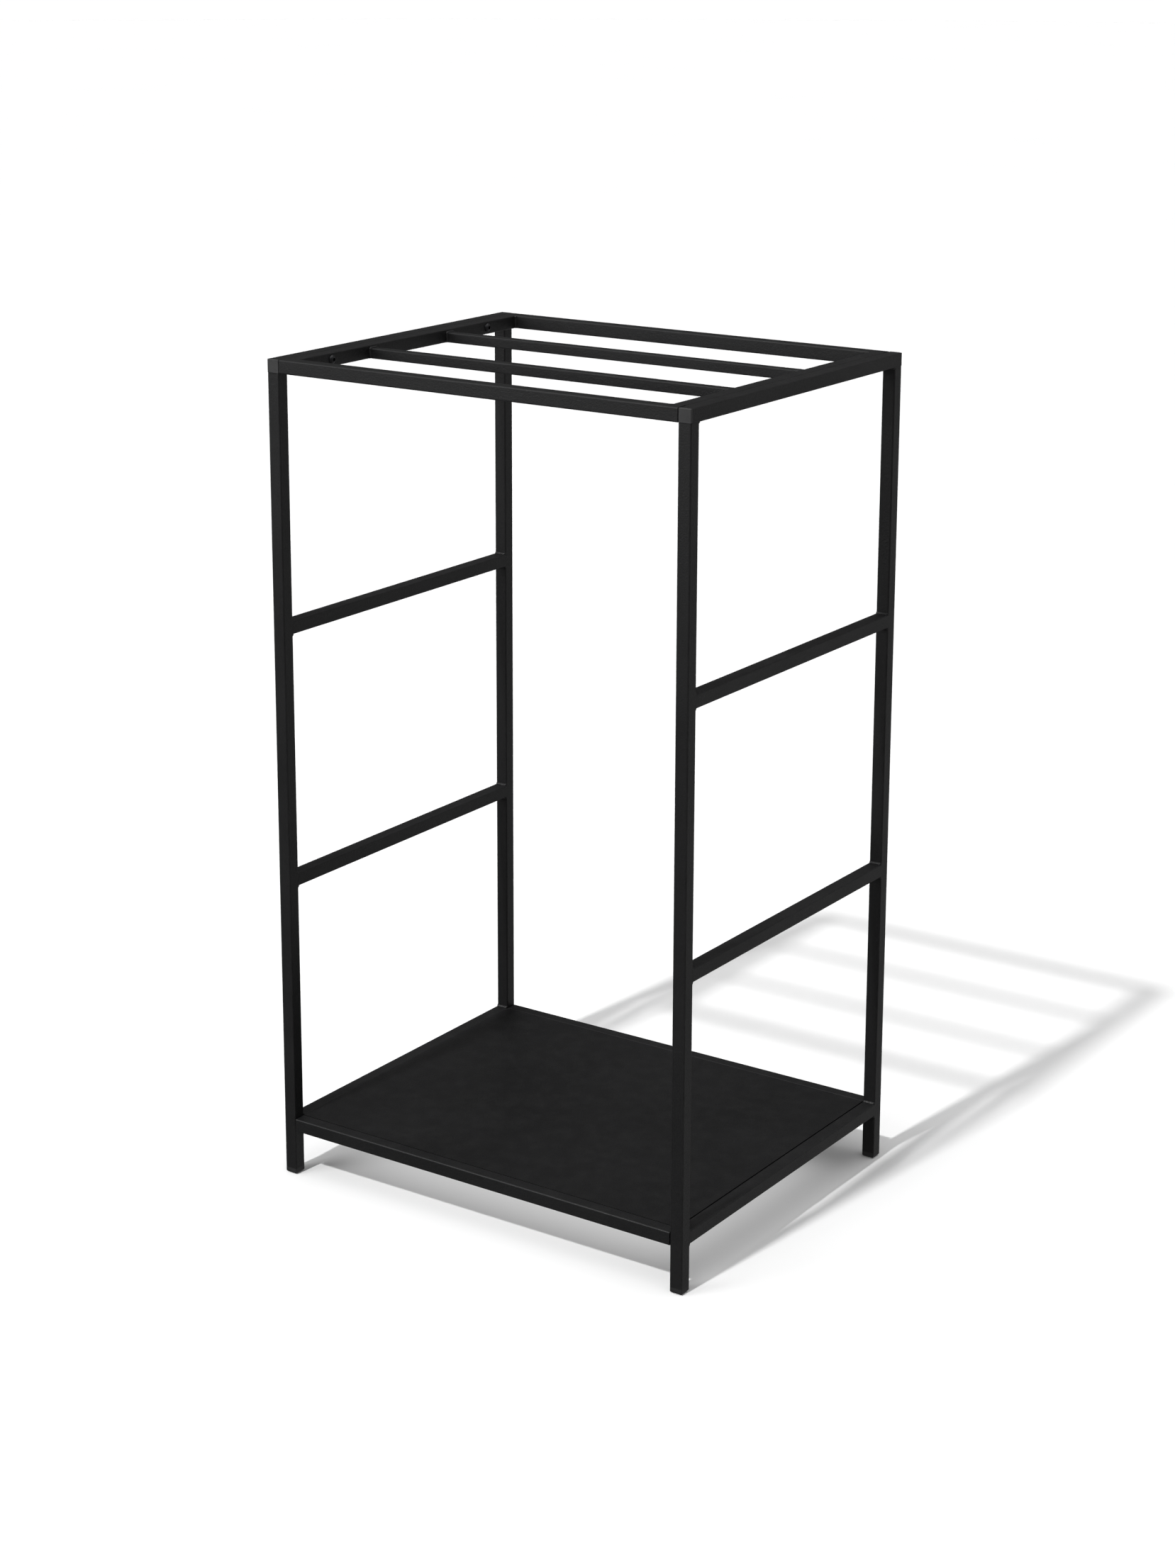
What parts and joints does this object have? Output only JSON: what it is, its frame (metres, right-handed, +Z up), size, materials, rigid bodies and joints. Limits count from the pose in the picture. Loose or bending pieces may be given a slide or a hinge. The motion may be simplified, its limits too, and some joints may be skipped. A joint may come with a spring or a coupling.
{
  "type": "firewood log rack",
  "caption": "Tall open firewood rack of black square steel tube, with ladder-shaped sides, a slatted top frame and a closed steel base plate.",
  "frame": {"origin": "middle of the footprint, on the floor", "axes": "+Z up; +X to the right across the width, between the two side frames; +Y from the front to the back, along the depth"},
  "size_m": [0.565, 0.45, 0.99],
  "materials": {
    "powder_coat": "matt black powder coat with a fine orange-peel texture",
    "plate_coat": "the same matt black powder coat on flat sheet steel",
    "plug_plastic": "satin black moulded plastic",
    "foot_plastic": "matt black moulded plastic",
    "screw_steel": "black oxide screw, satin",
    "zinc_steel": "zinc plated"
  },
  "bodies": {
    "root": {"left_front_leg": "powder_coat", "left_rear_leg": "powder_coat", "right_front_leg": "powder_coat", "right_rear_leg": "powder_coat", "left_top_rail": "powder_coat", "left_upper_rung": "powder_coat", "left_lower_rung": "powder_coat", "left_base_rail": "powder_coat", "right_top_rail": "powder_coat", "right_upper_rung": "powder_coat", "right_lower_rung": "powder_coat", "right_base_rail": "powder_coat", "top_front_rail": "powder_coat", "top_rear_rail": "powder_coat", "top_left_end_rail": "powder_coat", "top_right_end_rail": "powder_coat", "top_front_slat": "powder_coat", "top_rear_slat": "powder_coat", "base_front_rail": "powder_coat", "base_rear_rail": "powder_coat", "base_left_end_rail": "powder_coat", "base_right_end_rail": "powder_coat", "base_front_support": "powder_coat", "base_rear_support": "powder_coat", "base_plate": "plate_coat", "left_front_rail_plug": "plug_plastic", "left_rear_rail_plug": "plug_plastic", "right_front_rail_plug": "plug_plastic", "right_rear_rail_plug": "plug_plastic", "left_front_foot": "foot_plastic", "left_rear_foot": "foot_plastic", "right_front_foot": "foot_plastic", "right_rear_foot": "foot_plastic", "left_top_screws": "screw_steel", "right_top_screws": "screw_steel", "left_base_screws": "screw_steel", "right_base_screws": "screw_steel", "left_top_rivet_nuts": "zinc_steel", "right_top_rivet_nuts": "zinc_steel", "left_base_rivet_nuts": "zinc_steel", "right_base_rivet_nuts": "zinc_steel"}
  },
  "joints": []
}
